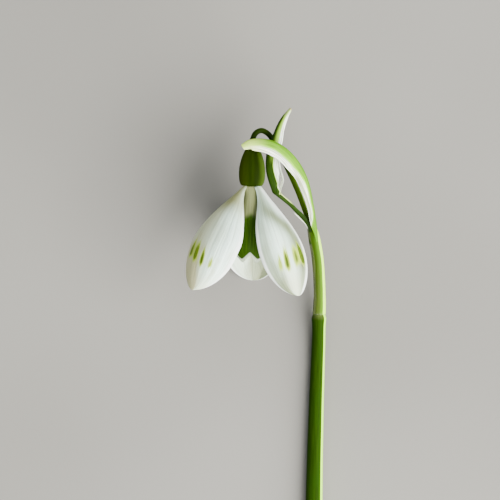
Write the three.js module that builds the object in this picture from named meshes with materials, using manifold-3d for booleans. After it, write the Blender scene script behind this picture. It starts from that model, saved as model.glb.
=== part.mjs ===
// A cut snowdrop lying on its side: scape, spathe, pedicel, ovary, three outer and three inner
// tepals, stamens and style. Millimetres, +Z up, +Y from the cut end of the scape to the bloom end.
// The scape and the lowest outer tepal rest on the plane z = 0.
import * as THREE from "three";
import { mergeVertices } from "three/addons/utils/BufferGeometryUtils.js";
import Module from "manifold-3d";

// Driving dimensions, in millimetres and degrees.
const GAP = 0.3; // between organs that touch on the plant
const BLADE = 0.6; // thickness of a tepal or a spathe valve
const SCAPE = { cutRadius: 2.05, topRadius: 1.39, belly: 0.55, slant: 0.35, sides: 12, steps: 34 };
const NODE = { swelling: 0.28, span: 0.026 }; // where the spathe springs from the scape
const SHEATH = { radius: 1.16, foot: 0.16, footSpan: 0.3, sides: 14, steps: 16 };
const SHEATH_KEELS = { height: 0.1, sharpness: 6 };
const SHEATH_MOUTH = { narrowing: 0.12, from: 0.8 };
const PEDICEL = { radius: 0.58, rootRadius: 0.42, thickens: [0.3, 0.45], sides: 8, steps: 40 };
const BORE = { start: [13.45, 15.6, 2.5], sides: 10, steps: 46 }; // the sheath's, round the pedicel
const ARCHED = { foot: 1.3, belly: 3, swells: [0.15, 0.72], thick: 1.05, blunt: 0.62, fold: 0.6 };
const UPRIGHT = { foot: 0.85, belly: 3.2, fall: 2.7, swells: [0.4, 0.5] };
const UPRIGHT_FOLD = { foot: 0.5, thick: 0.95, fall: 0.5, narrows: 0.6, opens: [0.4, 0.55] };
const VALVE_TIP = { cutBack: 0.93, roundness: 2.2 };
const VALVE_HOLLOW = { half: 0.1, depth: 0.15 }; // the least that is left open inside the fold
const OVARY = { length: 8.8, rings: 14, sides: 20 };
const STYLE = { radius: 0.22, length: 8.6, taper: 0.25, sides: 8, steps: 6 };
const STAMENS = { count: 6, ring: 0.6, length: 6.4, sides: 6, steps: 8 };
const STAMEN_RING = { half: 0.2, depth: 1, sides: 12 };
const FILAMENT = { radius: 0.2, ends: [0.15, 0.4] };
const ANTHER = { radius: 0.46, tip: 0.35, narrows: 0.55 };
const CLAW_SPAN = 0.14; // part of a tepal's length over which its claw opens into the blade
const LOBES = { split: 0.5, notch: 1.3, shoulder: 2.4, fall: 1.6 }; // the end of an inner tepal
const BLOOM_AT = new THREE.Vector3(-0.9, 43.3, 17.7); // where the tepals meet the ovary
const BLOOM_NOD = 6; // the bloom's mouth points this far down
const BLOOM_LEAN = -1.5; // and this far to the side

// Colours of the fresh flower.
const WHITE = 0xe9f0ea;
const LEAF_GREEN = 0x4b6b16;
const PALE_GREEN = 0xa9cc74;
const OVARY_GREEN = 0x3c5208;
const PEDICEL_GREEN = 0x3d5a0c;
const ANTHER_ORANGE = 0xe39a2c;
const STYLE_CREAM = 0xdfe3b8;

// How finely the curved faces are split.
const VALVE_GRID = { rows: 30, columns: 8 };
const OUTER_GRID = { rows: 20, columns: 10 };
const INNER_GRID = { rows: 16, columns: 8 };
const TIP_CROWDING = 1.35; // rows of a tepal lie closer together towards its tip
const MIDLINE_PIECES = 24;
const WELD = 1e-4; // points nearer than this are one point

const wasm = await Module();
wasm.setup();

const rad = THREE.MathUtils.degToRad;
const lerp = THREE.MathUtils.lerp;
const smooth = THREE.MathUtils.smoothstep;
const group = new THREE.Group();

function addMesh(name, geometry, color, roughness = 0.55) {
  const material = new THREE.MeshStandardMaterial({ color, roughness, metalness: 0 });
  const mesh = new THREE.Mesh(geometry, material);
  mesh.name = name;
  group.add(mesh);
}

// A closed body from its points and triangles, with its faces turned outwards.
function closedBody(points, triangles) {
  const volume = triangles.reduce((sum, [a, b, c]) => {
    const normal = new THREE.Vector3().crossVectors(points[b], points[c]);
    return sum + points[a].dot(normal);
  }, 0);
  const faces = volume < 0 ? triangles.map(([a, b, c]) => [a, c, b]) : triangles;
  const geometry = new THREE.BufferGeometry().setFromPoints(points);
  return geometry.setIndex(faces.flat());
}

// A blade between two faces, each a function of u (root to tip) and v (edge to edge).
// Both faces are split into triangles alike.
function blade(outerFace, innerFace, rows, columns) {
  const points = [];
  for (const face of [outerFace, innerFace]) {
    for (const u of rows) {
      for (const v of columns) points.push(face(u, v));
    }
  }
  const width = columns.length;
  const count = rows.length * width;
  const triangles = [];
  for (let i = 0; i + 1 < rows.length; i++) {
    for (let j = 0; j + 1 < width; j++) {
      const a = i * width + j;
      const b = a + 1;
      const c = a + width;
      const d = c + 1;
      triangles.push([a, c, b], [b, c, d]);
      triangles.push([a + count, b + count, c + count], [b + count, d + count, c + count]);
    }
  }
  const rim = [];
  for (let j = 0; j < width; j++) rim.push(j);
  for (let i = 1; i < rows.length; i++) rim.push(i * width + width - 1);
  for (let j = width - 2; j >= 0; j--) rim.push((rows.length - 1) * width + j);
  for (let i = rows.length - 2; i > 0; i--) rim.push(i * width);
  rim.forEach((a, k) => {
    const b = rim[(k + 1) % rim.length];
    triangles.push([a, b, a + count], [b, b + count, a + count]);
  });
  return closedBody(points, triangles);
}

// The travelling frame of a route: side lies level, to the right of the way it runs.
function frameAt(route, s) {
  const at = route.getPointAt(s);
  const ahead = route.getTangentAt(s);
  const side = new THREE.Vector3().crossVectors(ahead, new THREE.Vector3(0, 0, 1)).normalize();
  const up = new THREE.Vector3().crossVectors(side, ahead);
  return { at, ahead, side, up };
}

// A closed stalk along a route. radius takes the place along it and the angle round it.
function stalk(route, radius, sides, steps, slant = 0) {
  const points = [];
  const triangles = [];
  for (let i = 0; i <= steps; i++) {
    const s = i / steps;
    const { at, ahead, side, up } = frameAt(route, s);
    for (let j = 0; j < sides; j++) {
      const angle = ((j + 0.5) / sides) * 2 * Math.PI;
      const r = radius(s, angle);
      const point = at.clone().addScaledVector(side, r * Math.cos(angle));
      point.addScaledVector(up, r * Math.sin(angle));
      if (i === 0) point.addScaledVector(ahead, slant * r * Math.cos(angle));
      points.push(point);
      if (i === steps) continue;
      const a = i * sides + j;
      const b = i * sides + ((j + 1) % sides);
      triangles.push([a, a + sides, b], [b, a + sides, b + sides]);
    }
  }
  const last = steps * sides;
  const foot = points.push(route.getPointAt(0)) - 1;
  const tip = points.push(route.getPointAt(1)) - 1;
  for (let j = 0; j < sides; j++) {
    const next = (j + 1) % sides;
    triangles.push([foot, j, next], [tip, last + next, last + j]);
  }
  return closedBody(points, triangles);
}

function route(...points) {
  return new THREE.CatmullRomCurve3(points.map((p) => new THREE.Vector3(...p)));
}

function solidOf(geometry) {
  const bare = geometry.clone().deleteAttribute("normal").deleteAttribute("uv");
  const merged = mergeVertices(bare, WELD);
  return new wasm.Manifold(new wasm.Mesh({
    numProp: 3,
    vertProperties: new Float32Array(merged.attributes.position.array),
    triVerts: new Uint32Array(merged.index.array),
  }));
}

function geometryOf(solid) {
  const { vertProperties, triVerts } = solid.getMesh();
  const geometry = new THREE.BufferGeometry();
  geometry.setAttribute("position", new THREE.BufferAttribute(vertProperties, 3));
  return geometry.setIndex(new THREE.BufferAttribute(triVerts, 1));
}

function joined(geometries) {
  return geometries.map(solidOf).reduce((all, next) => all.add(next));
}

// What lies on the ground gives way to it: nothing reaches below z = floor.
function restOn(point, floor = 0) {
  point.z = Math.max(point.z, floor);
  return point;
}

// Scape: the leafless stalk. It lies along the ground from its cut end and rises to the node.
const scapeRoute = route(
  [12.2, -58.9, 1.9], [12.3, -40, 1.78], [12.5, -20, 1.66], [12.9, -4, 1.52],
  [13.25, 6, 1.5], [13.42, 11.5, 1.95], [13.46, 16.1, 2.75],
);
function scapeRadius(s) {
  const taper = (1 - s) * (1 + SCAPE.belly * s);
  const swelling = NODE.swelling * Math.exp(-(((1 - s) / NODE.span) ** 2));
  return lerp(SCAPE.topRadius, SCAPE.cutRadius, taper) + swelling;
}
const scape = stalk(scapeRoute, scapeRadius, SCAPE.sides, SCAPE.steps, SCAPE.slant);
const scapePoints = scape.attributes.position;
for (let i = 0; i < scapePoints.count; i++) scapePoints.setZ(i, Math.max(scapePoints.getZ(i), 0));
addMesh("scape", scape, LEAF_GREEN);

// Pedicel: from the top of the scape, up inside the sheath, out between the valves and over in
// an arch to the ovary.
const pedicelRoute = route(
  [13.47, 16.45, 2.84], [13.55, 20.5, 3.9], [13.1, 28, 6.4], [12.3, 32.3, 8.0], [11.4, 35.8, 8.9],
  [10.2, 38.9, 9.7], [8.8, 42.5, 11.0], [7.0, 46.4, 12.5], [5.3, 49.8, 13.8], [3.9, 52.3, 14.9],
  [2.6, 54.2, 16.1], [1.1, 54.9, 17.2], [-0.1, 54.3, 18.0], [-0.65, 53.2, 18.5],
  [-0.75, 52.45, 18.7],
);
function pedicelRadius(s) {
  return lerp(PEDICEL.rootRadius, PEDICEL.radius, smooth(s, ...PEDICEL.thickens));
}
addMesh("pedicel", stalk(pedicelRoute, pedicelRadius, PEDICEL.sides, PEDICEL.steps), PEDICEL_GREEN);

// Spathe: a sheath round the pedicel that parts into two valves, each folded like a canoe along
// its keel. A valve's route is its keel, depth how far its flanks reach from it, and half how
// thick the folded valve is either side of it.
const sheathRoute = route(
  [13.47, 16.45, 2.84], [13.55, 20.5, 3.95], [13.1, 28, 6.4], [12.35, 32.3, 8.0], [11.85, 34.9, 9.0],
);
function sheathRadius(s, angle) {
  const keels = 1 + SHEATH_KEELS.height * Math.abs(Math.cos(angle)) ** SHEATH_KEELS.sharpness;
  const foot = SHEATH.foot * (1 - smooth(s, 0, SHEATH.footSpan));
  const mouth = SHEATH_MOUTH.narrowing * smooth(s, SHEATH_MOUTH.from, 1);
  return (SHEATH.radius + foot - mouth) * keels;
}
const archedValve = {
  inside: -1,
  keel: route(
    [13.2, 31.5, 8.4], [12.8, 35.2, 9.9], [12.0, 39.9, 12.7], [10.9, 44.4, 15.6],
    [9.3, 47.7, 17.9], [6.9, 50.5, 19.9], [4.2, 52.3, 21.1], [1.2, 53.0, 21.8],
    [-1.6, 52.7, 22.0], [-3.1, 51.7, 21.8],
  ),
  depth: (u) => lerp(ARCHED.foot, ARCHED.belly, smooth(u, ...ARCHED.swells)) * roundEnd(u),
  half: (u) => ARCHED.thick * roundEnd(u) ** ARCHED.fold,
};
const uprightValve = {
  inside: 1,
  keel: route(
    [11.3, 31.5, 8.2], [10.8, 34.6, 9.3], [9.7, 36.5, 10.3], [8.3, 38.0, 10.9], [7.0, 39.5, 11.6],
    [5.0, 40.8, 12.5], [3.5, 42.1, 13.4], [2.85, 43.7, 14.5], [2.3, 45.5, 15.6], [2.05, 48.2, 16.8],
    [2.25, 50.7, 17.5], [3.05, 52.95, 18.0], [4.3, 56.0, 18.6], [5.4, 57.8, 18.9], [6.95, 59.5, 19.3],
  ),
  depth: (u) => {
    const beyondMiddle = 2 * Math.max(u, 0.5) - 1;
    const belly = UPRIGHT.belly - UPRIGHT.fall * beyondMiddle ** 2;
    return lerp(UPRIGHT.foot, belly, smooth(u, ...UPRIGHT.swells));
  },
  half: (u) => {
    const thick = UPRIGHT_FOLD.thick - UPRIGHT_FOLD.fall * smooth(u, UPRIGHT_FOLD.narrows, 1);
    return lerp(UPRIGHT_FOLD.foot, thick, smooth(u, ...UPRIGHT_FOLD.opens));
  },
};

// 1 as far as the place where the tip begins, then falling in a curve to a blunt end.
function roundEnd(u) {
  const q = Math.max(0, (u - ARCHED.blunt) / (1 - ARCHED.blunt));
  return Math.sqrt(1 - VALVE_TIP.cutBack * q ** VALVE_TIP.roundness);
}

function valveFace(valve, wall) {
  return (u, v) => {
    const { at, side, up } = frameAt(valve.keel, u);
    const depth = valve.depth(u);
    const half = Math.max(valve.half(u) - wall, wall > 0 ? VALVE_HOLLOW.half : 0);
    const start = Math.min(wall, depth - VALVE_HOLLOW.depth);
    const angle = (v * Math.PI) / 2;
    at.addScaledVector(side, valve.inside * (start + (depth - start) * (1 - Math.cos(angle))));
    return at.addScaledVector(up, half * Math.sin(angle));
  };
}

function steps(count, low = 0, high = 1) {
  return Array.from({ length: count + 1 }, (_, i) => lerp(low, high, i / count));
}

const valveRows = steps(VALVE_GRID.rows);
const valveColumns = steps(VALVE_GRID.columns, -1, 1);
const valves = [archedValve, uprightValve].map((valve) =>
  blade(valveFace(valve, 0), valveFace(valve, BLADE), valveRows, valveColumns));
const sheath = stalk(sheathRoute, sheathRadius, SHEATH.sides, SHEATH.steps);
const boreRoute = route(BORE.start, ...pedicelRoute.points.map((p) => p.toArray()));
const bore = stalk(boreRoute, (s) => pedicelRadius(s) + GAP, BORE.sides, BORE.steps);
const spathe = joined([sheath, ...valves]).subtract(solidOf(bore));
const largest = spathe.decompose().reduce((a, b) => (a.volume() > b.volume() ? a : b));
addMesh("spathe", geometryOf(largest), PALE_GREEN);

// The bloom's own frame: Y up the ovary, Z towards the upper side, X to the right.
const bloom = new THREE.Matrix4().makeRotationFromEuler(
  new THREE.Euler(rad(BLOOM_NOD), 0, rad(BLOOM_LEAN), "ZYX"),
);
bloom.setPosition(BLOOM_AT);

// Ovary: an inverted egg, flat where the tepals sit.
const ovaryOutline = new THREE.SplineCurve([
  new THREE.Vector2(2.0, 0), new THREE.Vector2(2.42, 0.75), new THREE.Vector2(2.68, 2.2),
  new THREE.Vector2(2.6, 4.0), new THREE.Vector2(2.2, 5.7), new THREE.Vector2(1.6, 7.3),
  new THREE.Vector2(1.05, 8.35), new THREE.Vector2(0.7, OVARY.length),
]);
const ovaryProfile = [
  new THREE.Vector2(0, 0),
  ...ovaryOutline.getPoints(OVARY.rings),
  new THREE.Vector2(0, OVARY.length),
];
const ovary = new THREE.LatheGeometry(ovaryProfile, OVARY.sides).applyMatrix4(bloom);
addMesh("ovary", ovary, OVARY_GREEN, 0.4);

// Tepals: each is a strip bent along its midline and cupped across it. out and back are the
// angles between the midline and the bloom's axis at the claw and at the tip.
const outerTepal = {
  grid: OUTER_GRID, ring: 1.95, claw: 0.85, tip: 2.2, end: 0, notch: 0, drop: GAP,
};
const innerTepal = {
  grid: INNER_GRID, length: 15.4, ring: 1.2, claw: 0.7, out: 27, back: -5, bend: 0.8,
  half: 3.7, widest: 0.78, tip: 2.2, end: 0.72, rise: 0.62, cup: [32, 58, 58], twist: 0,
  notch: 0.1, drop: GAP,
};
const tepals = {
  outer_tepal_left: {
    ...outerTepal, turn: -50.6, length: 25.5, out: 61, back: -1, bend: 1.09, half: 8.5, rise: 0.72,
    cup: [26, 66, 58], twist: -6.6, widest: 0.53,
  },
  outer_tepal_right: {
    ...outerTepal, turn: 47.7, length: 25.2, out: 55, back: -3, bend: 1.3, half: 7.9, rise: 0.67,
    cup: [26, 60, 82], twist: -1.5, widest: 0.57,
  },
  outer_tepal_back: {
    ...outerTepal, turn: 177, length: 26.9, out: 64.5, back: -4, bend: 1.2, half: 8.3, rise: 0.7,
    cup: [26, 64, 60], twist: 0, widest: 0.55,
  },
  inner_tepal_front: { ...innerTepal, turn: -2 },
  inner_tepal_left: { ...innerTepal, turn: -121 },
  inner_tepal_right: { ...innerTepal, turn: 119 },
};

// Distance out from the axis and down along it, part u of the way along the midline.
function midline(tepal, u) {
  let out = tepal.ring;
  let down = tepal.drop;
  const stride = (tepal.length * u) / MIDLINE_PIECES;
  for (let k = 0; k < MIDLINE_PIECES; k++) {
    const angle = midlineAngle(tepal, (u * (k + 0.5)) / MIDLINE_PIECES);
    out += Math.sin(angle) * stride;
    down += Math.cos(angle) * stride;
  }
  return [out, down];
}

function midlineAngle(tepal, u) {
  return rad(lerp(tepal.out, tepal.back, u ** tepal.bend));
}

function halfWidth(tepal, u) {
  if (u < tepal.widest) {
    return lerp(tepal.claw, tepal.half, smooth(u, 0, tepal.widest) ** tepal.rise);
  }
  const q = (u - tepal.widest) / (1 - tepal.widest);
  const end = Math.max(tepal.end, BLADE / 2 / tepal.half);
  return tepal.half * Math.sqrt(1 - (1 - end ** 2) * q ** tepal.tip);
}

function cupping(tepal, u) {
  const [claw, middle, tip] = tepal.cup;
  const blade = lerp(middle, tip, Math.max(0, u - tepal.widest) / (1 - tepal.widest));
  return rad(lerp(claw, blade, smooth(u, 0, CLAW_SPAN)));
}

// How far down the tepal its end lies: notched in the middle, with a round lobe on either side.
function endAt(tepal, v) {
  const middle = Math.max(0, 1 - Math.abs(v) / LOBES.split);
  const shoulder = Math.max(0, Math.abs(v) - LOBES.split) / (1 - LOBES.split);
  return 1 - tepal.notch * (middle ** LOBES.notch + LOBES.fall * shoulder ** LOBES.shoulder);
}

// The point at u, v, lifted off the mid-surface towards the outside of the bloom.
function tepalPoint(tepal, u, v, lift) {
  const along = u * endAt(tepal, v);
  const [out, down] = midline(tepal, along);
  const slope = midlineAngle(tepal, along);
  const cup = cupping(tepal, along);
  const bow = halfWidth(tepal, along) / cup;
  const twist = rad(tepal.twist) * along;
  const across = (bow + lift) * Math.sin(cup * v);
  const above = (bow + lift) * Math.cos(cup * v) - bow;
  const sideways = across * Math.cos(twist) - above * Math.sin(twist);
  const raised = across * Math.sin(twist) + above * Math.cos(twist);
  const radius = out + raised * Math.cos(slope);
  const turn = rad(tepal.turn);
  return new THREE.Vector3(
    radius * Math.sin(turn) + sideways * Math.cos(turn),
    -down + raised * Math.sin(slope),
    radius * Math.cos(turn) - sideways * Math.sin(turn),
  ).applyMatrix4(bloom);
}

for (const [name, tepal] of Object.entries(tepals)) {
  const rows = steps(tepal.grid.rows).map((s) => 1 - (1 - s) ** TIP_CROWDING);
  const columns = steps(tepal.grid.columns, -1, 1);
  const outside = (u, v) => restOn(tepalPoint(tepal, u, v, BLADE / 2));
  const inside = (u, v) => restOn(tepalPoint(tepal, u, v, -BLADE / 2), BLADE);
  addMesh(name, blade(outside, inside, rows, columns), WHITE);
}

// Stamens: six anthers on short filaments that rise from one ring and lean together round the
// style. One colour, one body.
const ringProfile = [
  [-1, STAMEN_RING.depth], [1, STAMEN_RING.depth], [1, GAP], [-1, GAP], [-1, STAMEN_RING.depth],
].map(([side, down]) => new THREE.Vector2(STAMENS.ring + side * STAMEN_RING.half, -down));
const stamenBodies = [new THREE.LatheGeometry(ringProfile, STAMEN_RING.sides)];
function stamenRadius(s) {
  const fullest = lerp(FILAMENT.radius, ANTHER.radius, smooth(s, ...FILAMENT.ends));
  return fullest * lerp(1, ANTHER.tip, smooth(s, ANTHER.narrows, 1));
}
for (let k = 0; k < STAMENS.count; k++) {
  const turn = (k / STAMENS.count) * 2 * Math.PI;
  const place = (r, down) => [r * Math.sin(turn), -down, r * Math.cos(turn)];
  const filament = route(
    place(STAMENS.ring, 0.6), place(0.75, 1.3), place(1.12, 2.6), place(1.1, 4.4),
    place(0.75, STAMENS.length),
  );
  stamenBodies.push(stalk(filament, stamenRadius, STAMENS.sides, STAMENS.steps));
}
addMesh("stamens", geometryOf(joined(stamenBodies)).applyMatrix4(bloom), ANTHER_ORANGE);

// Style: one slender column through the ring of stamens, a little longer than the anthers.
const styleRoute = route([0, -GAP, 0], [0, -STYLE.length / 2, 0.02], [0, -STYLE.length, 0.05]);
const styleRadius = (s) => STYLE.radius * (1 - STYLE.taper * s);
const style = stalk(styleRoute, styleRadius, STYLE.sides, STYLE.steps).applyMatrix4(bloom);
addMesh("style", style, STYLE_CREAM);

export default group;
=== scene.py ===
# A cut snowdrop lying on its side: a nodding white bloom on an arched stalk, its spathe, and the
# leafless scape that carries them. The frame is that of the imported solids: metres, +Z up, and +Y
# from the cut end of the scape to the bloom end. Sizes are in millimetres where nothing else is said.
import math
import bpy
import numpy as np
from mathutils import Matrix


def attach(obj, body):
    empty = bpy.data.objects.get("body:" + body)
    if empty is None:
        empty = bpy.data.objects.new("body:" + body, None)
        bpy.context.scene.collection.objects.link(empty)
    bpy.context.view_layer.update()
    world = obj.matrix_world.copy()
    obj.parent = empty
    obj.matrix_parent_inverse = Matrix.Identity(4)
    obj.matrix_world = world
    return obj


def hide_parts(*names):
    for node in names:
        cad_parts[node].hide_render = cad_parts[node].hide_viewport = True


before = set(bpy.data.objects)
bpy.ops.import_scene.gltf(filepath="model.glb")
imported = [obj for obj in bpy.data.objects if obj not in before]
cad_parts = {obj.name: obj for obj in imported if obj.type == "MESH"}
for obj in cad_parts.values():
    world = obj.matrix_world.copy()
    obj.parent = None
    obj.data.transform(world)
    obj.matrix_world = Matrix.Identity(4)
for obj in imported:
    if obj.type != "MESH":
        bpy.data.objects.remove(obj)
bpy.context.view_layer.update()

# ---- Table and light -------------------------------------------------------------------------
# The table is a wide pale board with a faint even tooth, and the flower lies on it. One big soft
# window stands on the right, past the cut end, and lights the flower aslant. A weak panel of the
# same size, beyond the bloom on the left, opens the shadows.
MM = 0.001  # in metres
BOARD_SIZE = 3.0  # metres
BOARD_LEVEL = -0.0001  # metres, a hair below what lies on it
VIEW_MIDDLE = (-1.26, 30.24)
VIEW_WIDTH = 105
VIEW_LEVEL = 10  # the height at which the view is that wide
CAMERA_ABOVE = 420  # above that level
PANEL_SIZE = 0.9  # metres, as are the next point and the panels' places
PANELS_AIM = np.array([0.0, 0.03, 0.015])


class Paint:
    """One value in a material's nodes. Sums and products on it add the nodes that work them out."""

    def __init__(self, tree, socket=None):
        self.tree = tree
        self.socket = socket

    def node(self, kind, settings=None, sockets=None, out=0):
        made = self.tree.nodes.new("ShaderNode" + kind)
        for name, value in (settings or {}).items():
            setattr(made, name, value)
        for name, value in (sockets or {}).items():
            if isinstance(value, Paint):
                self.tree.links.new(value.socket, made.inputs[name])
            else:
                made.inputs[name].default_value = value
        return Paint(self.tree, made.outputs[out])

    def maths(self, operation, first, second=0.0):
        return self.node("Math", {"operation": operation}, {0: first, 1: second})

    def __add__(self, other):
        return self.maths("ADD", self, other)

    def __sub__(self, other):
        return self.maths("SUBTRACT", self, other)

    def __rsub__(self, other):
        return self.maths("SUBTRACT", other, self)

    def __mul__(self, other):
        return self.maths("MULTIPLY", self, other)

    def __truediv__(self, other):
        return self.maths("DIVIDE", self, other)

    def __abs__(self):
        return self.maths("ABSOLUTE", self)

    __radd__ = __add__
    __rmul__ = __mul__

    def wave(self):
        return self.maths("SINE", self)

    def rise(self, low, high):
        """0 below low, 1 above high, and an easy curve between."""
        span = {"Value": self, "From Min": low, "From Max": high}
        return self.node("MapRange", {"interpolation_type": "SMOOTHSTEP"}, span)

    def tint(self, colour, other):
        """colour where this is 0, other where it is 1."""
        sockets = {0: self, 6: whole(colour), 7: whole(other)}
        return self.node("Mix", {"data_type": "RGBA"}, sockets, out=2)

    def clamped(self):
        return self.node("Clamp", None, {0: self})

    def bumps(self, strength, height):
        """This as bumps on the surface, so many millimetres high where it is 1."""
        sockets = {"Strength": strength, "Distance": height * MM, "Height": self}
        return self.node("Bump", None, sockets)

    def noise(self, place, scale, detail):
        """Even noise about 0.5."""
        return self.node("TexNoise", None, {"Vector": place, "Scale": scale, "Detail": detail})

    def grain(self, across, along, seed=0.0, detail=3.0):
        """Noise over an organ, finer as across and along are given larger."""
        return self.noise(self.node("CombineXYZ", None, {0: across, 1: along, 2: seed}), 1.0, detail)

    def organ(self):
        """How far across its organ, and how far along it, each place on the surface lies."""
        place = self.node("UVMap", {"uv_map": "organ"})
        return [self.node("SeparateXYZ", None, {0: place}, out=axis) for axis in (0, 1)]

    def outer_face(self):
        """1 on the outer face of an organ, 0 on its inner face and where it is cut."""
        return self.node("Attribute", {"attribute_name": "outside"}, out=2)


def whole(colour):
    """A plain colour with the alpha that its socket wants."""
    return colour if isinstance(colour, Paint) else (*colour, 1.0)


def finish(name, colour, **shader):
    """A material. colour(root) gives the sockets that may vary, shader those that never do."""
    material = bpy.data.materials.new(name)
    material.use_nodes = True
    tree = material.node_tree
    surface = tree.nodes["Principled BSDF"]
    for socket, value in shader.items():
        surface.inputs[socket.replace("_", " ").title().replace("Ior", "IOR")].default_value = value
    for socket, value in colour(Paint(tree)).items():
        if isinstance(value, Paint):
            tree.links.new(value.socket, surface.inputs[socket])
        else:
            surface.inputs[socket].default_value = value
    return material


def coat(colour, roughness, relief, **others):
    """What goes over a surface, by the names of its sockets."""
    return {"Base Color": colour, "Roughness": roughness, "Normal": relief, **others}


def board(root):
    place = root.node("TexCoord", out=3)
    cloud = root.noise(place, scale=9.0, detail=2.0)
    tooth = root.noise(place, scale=900.0, detail=4.0)
    colour = cloud.rise(0.35, 0.65).tint((0.172, 0.166, 0.15), (0.2, 0.194, 0.176))
    return coat(colour, 0.85, tooth.bumps(0.12, 0.2))


bpy.ops.mesh.primitive_plane_add(size=BOARD_SIZE, location=(0.0, 0.0, BOARD_LEVEL))
table = bpy.context.object
table.name = "table"
table.data.materials.append(finish("table board", board))

camera = bpy.data.objects.new("camera", bpy.data.cameras.new("camera"))
camera.location = (VIEW_MIDDLE[0] * MM, VIEW_MIDDLE[1] * MM, (VIEW_LEVEL + CAMERA_ABOVE) * MM)
camera.data.angle = 2 * math.atan(VIEW_WIDTH / 2 / CAMERA_ABOVE)
camera.data.clip_start = 0.01
bpy.context.collection.objects.link(camera)
bpy.context.scene.camera = camera


def panel(name, place, power, colour):
    """A square soft light, turned towards the bloom."""
    lamp = bpy.data.objects.new(name, bpy.data.lights.new(name, "AREA"))
    lamp.data.size = PANEL_SIZE
    lamp.data.energy = power
    lamp.data.color = colour
    lamp.location = place
    away = PANELS_AIM - np.array(place)
    spin = math.atan2(away[1], away[0]) - math.pi / 2
    lean = math.atan2(math.hypot(away[0], away[1]), -away[2])
    lamp.rotation_euler = (lean, 0.0, spin)
    bpy.context.collection.objects.link(lamp)


panel("window", place=(0.5, -0.3, 0.52), power=46.0, colour=(1.0, 0.99, 0.95))
panel("far side", place=(-0.5, 0.5, 0.75), power=4.0, colour=(0.95, 0.98, 1.0))
sky = bpy.data.worlds.new("sky")
sky.use_nodes = True
background = sky.node_tree.nodes["Background"]
background.inputs["Color"].default_value = (0.92, 0.96, 1.0, 1.0)
background.inputs["Strength"].default_value = 0.5
bpy.context.scene.world = sky

# ---- Scape -----------------------------------------------------------------------------------
# The scape is the leafless stalk: a juicy green rod, waxy and finely ribbed along its length. It
# lies flat on the table for most of its way, rises to the node, and swells a little there.
CUT_RADIUS = 2.05
TOP_RADIUS = 1.39
SCAPE_BELLY = 0.55  # how full its taper is between the two
NODE_SWELLING = 0.28
NODE_SPAN = 0.026  # of the scape's length
SCAPE_ROUND = 0.97  # makes the round rod about as thick as the 12-sided solid from flat to flat
CUT_SLANT = 0.35  # of the radius
TURN = 2 * math.pi


def smooth(x, low, high):
    t = np.clip((np.asarray(x, float) - low) / (high - low), 0.0, 1.0)
    return t * t * (3 - 2 * t)


def blend(a, b, t):
    return a + (b - a) * t


class Route:
    """A smooth line through points in millimetres, walked by its own length from 0 to 1."""

    STEPS = 60  # in each stretch
    GLANCE = 0.004  # how far back and ahead of a place its way is taken from

    def __init__(self, *points):
        p = np.array(points, float)
        p = np.vstack([2 * p[0] - p[1], p, 2 * p[-1] - p[-2]])
        t = np.linspace(0, 1, self.STEPS, endpoint=False)[:, None]
        line = []
        # Each stretch is a cubic from p1 to p2. Its slopes m1 and m2 come from the points round it,
        # weighed by the root of their distances, so that close points make no loops.
        for p0, p1, p2, p3 in zip(p, p[1:], p[2:], p[3:]):
            d0, d1, d2 = (np.linalg.norm(b - a) ** 0.5 for a, b in ((p0, p1), (p1, p2), (p2, p3)))
            m1 = ((p1 - p0) / d0 - (p2 - p0) / (d0 + d1) + (p2 - p1) / d1) * d1
            m2 = ((p2 - p1) / d1 - (p3 - p1) / (d1 + d2) + (p3 - p2) / d2) * d1
            cubic = (2 * p1 - 2 * p2 + m1 + m2) * t**3 + (-3 * p1 + 3 * p2 - 2 * m1 - m2) * t**2
            line.append(cubic + m1 * t + p1)
        self.line = np.vstack(line + [p[-2]])
        strides = np.linalg.norm(np.diff(self.line, axis=0), axis=1)
        self.walked = np.append(0.0, strides.cumsum()) / strides.sum()

    def point(self, s):
        return np.stack([np.interp(s, self.walked, axis) for axis in self.line.T], -1)

    def frame(self, s):
        """Where it is at s, the way it runs, its level right-hand side, and its upper side."""
        s = np.asarray(s, float)
        ahead = self.point(np.minimum(s + self.GLANCE, 1)) - self.point(np.maximum(s - self.GLANCE, 0))
        ahead = ahead / np.linalg.norm(ahead, axis=-1, keepdims=True)
        side = np.cross(ahead, (0.0, 0.0, 1.0))
        side = side / np.linalg.norm(side, axis=-1, keepdims=True)
        return self.point(s), ahead, side, np.cross(side, ahead)


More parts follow.
